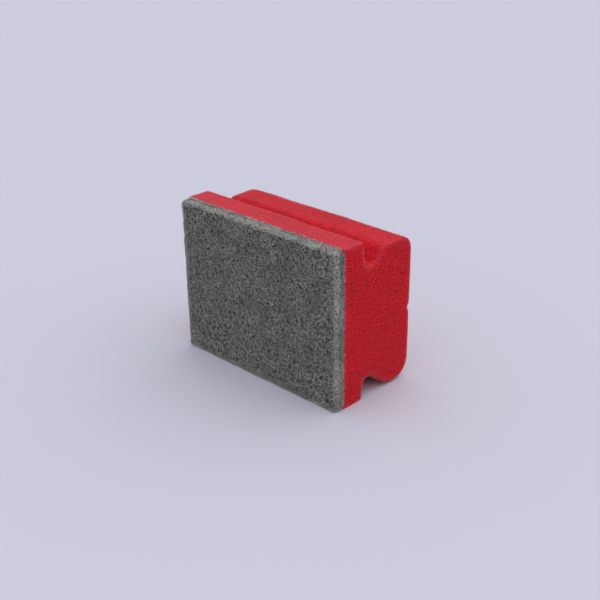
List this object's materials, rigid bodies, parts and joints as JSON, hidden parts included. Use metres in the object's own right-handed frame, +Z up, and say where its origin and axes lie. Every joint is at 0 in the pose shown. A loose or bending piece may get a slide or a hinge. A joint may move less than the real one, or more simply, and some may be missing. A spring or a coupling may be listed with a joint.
{
  "type": "kitchen scouring sponge",
  "caption": "Kitchen scouring sponge: a red foam block with a grip groove along its top and bottom, and a grey nonwoven scouring pad bonded to its front.",
  "frame": {"origin": "on the surface that the sponge stands on, under the middle of its length and depth", "axes": "+X along the length, +Y from the scouring pad to the foam's back, +Z up as it stands on a long edge"},
  "size_m": [0.09, 0.045, 0.07],
  "materials": {
    "foam": "matte",
    "nonwoven": "matte"
  },
  "bodies": {
    "root": {"foam_body": "foam", "scouring_pad": "nonwoven"}
  },
  "joints": []
}
